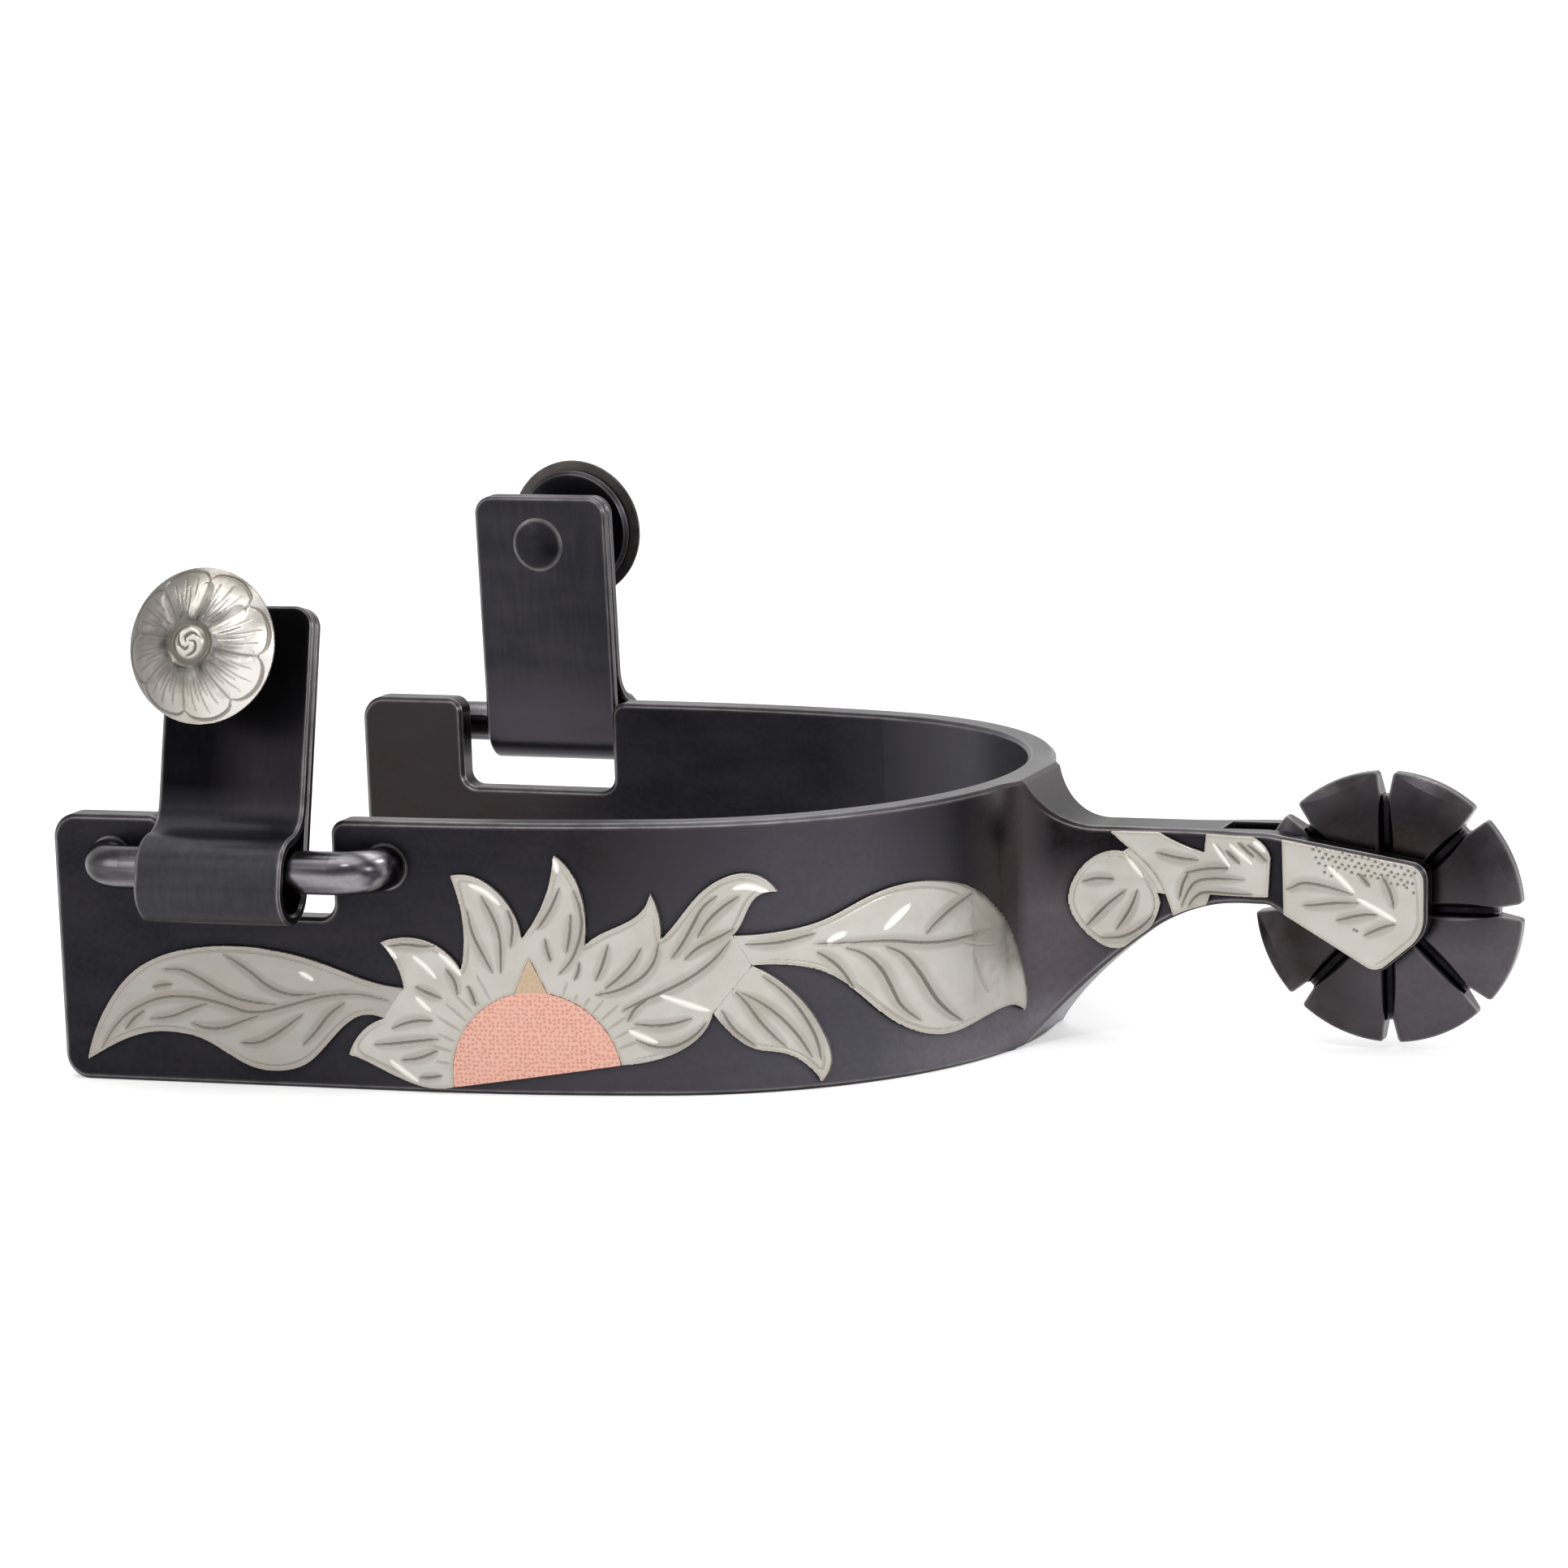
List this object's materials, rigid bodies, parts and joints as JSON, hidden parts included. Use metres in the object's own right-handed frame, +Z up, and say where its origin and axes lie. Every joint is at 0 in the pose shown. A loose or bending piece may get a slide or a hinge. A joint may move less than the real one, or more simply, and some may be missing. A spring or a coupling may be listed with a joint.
{
  "type": "western spur",
  "caption": "Western spur: a U-shaped heel band with a forked shank and flower rowel, hinged strap buttons and engraved overlays.",
  "frame": {"origin": "middle of the band's bottom edge at the back of the heel, halfway through the band's thickness", "axes": "+X backwards along the shank to the rowel, +Y to the plain inner side, -Y to the decorated outer side, +Z up"},
  "size_m": [0.1664, 0.1163, 0.0622],
  "materials": {
    "blued_steel": "dark blued and browned steel, satin, worn bright on the edges",
    "german_silver": "engraved german silver, satin, with oxidised cuts",
    "copper": "stippled copper",
    "brass": "pale brass, satin"
  },
  "bodies": {
    "spur": {"heel_band": "blued_steel", "shank": "blued_steel", "rowel_pin": "blued_steel", "outer_hanger_bar": "blued_steel", "inner_hanger_bar": "blued_steel", "left_leaf": "german_silver", "flower_petals": "german_silver", "flower_centre": "copper", "flower_tip": "brass", "right_leaf": "german_silver", "lower_leaf": "german_silver", "shank_leaf": "german_silver", "shank_scroll": "german_silver", "ear_leaf": "german_silver"},
    "rowel": {"rowel": "blued_steel"},
    "outer_hanger": {"outer_hanger": "blued_steel", "outer_button_stud": "blued_steel", "outer_button_base": "blued_steel", "outer_button_cap": "german_silver"},
    "inner_hanger": {"inner_hanger": "blued_steel", "inner_button_stud": "blued_steel", "inner_button_base": "blued_steel", "inner_button_cap": "german_silver"}
  },
  "joints": [
    {"name": "rowel_spin", "type": "hinge", "parent": "spur", "child": "rowel", "pos_m": [0.0444, 0, 0.0171], "axis": [0, 1, 0], "continuous": true},
    {"name": "outer_hanger_swing", "type": "hinge", "parent": "spur", "child": "outer_hanger", "pos_m": [-0.08087, -0.04966, 0.0267], "axis": [0.9997, 0.0262, 0], "range_deg": [-80, 172]},
    {"name": "inner_hanger_swing", "type": "hinge", "parent": "spur", "child": "inner_hanger", "pos_m": [-0.08087, 0.04966, 0.0278], "axis": [0.9997, -0.0262, 0], "range_deg": [-162, 92]}
  ]
}
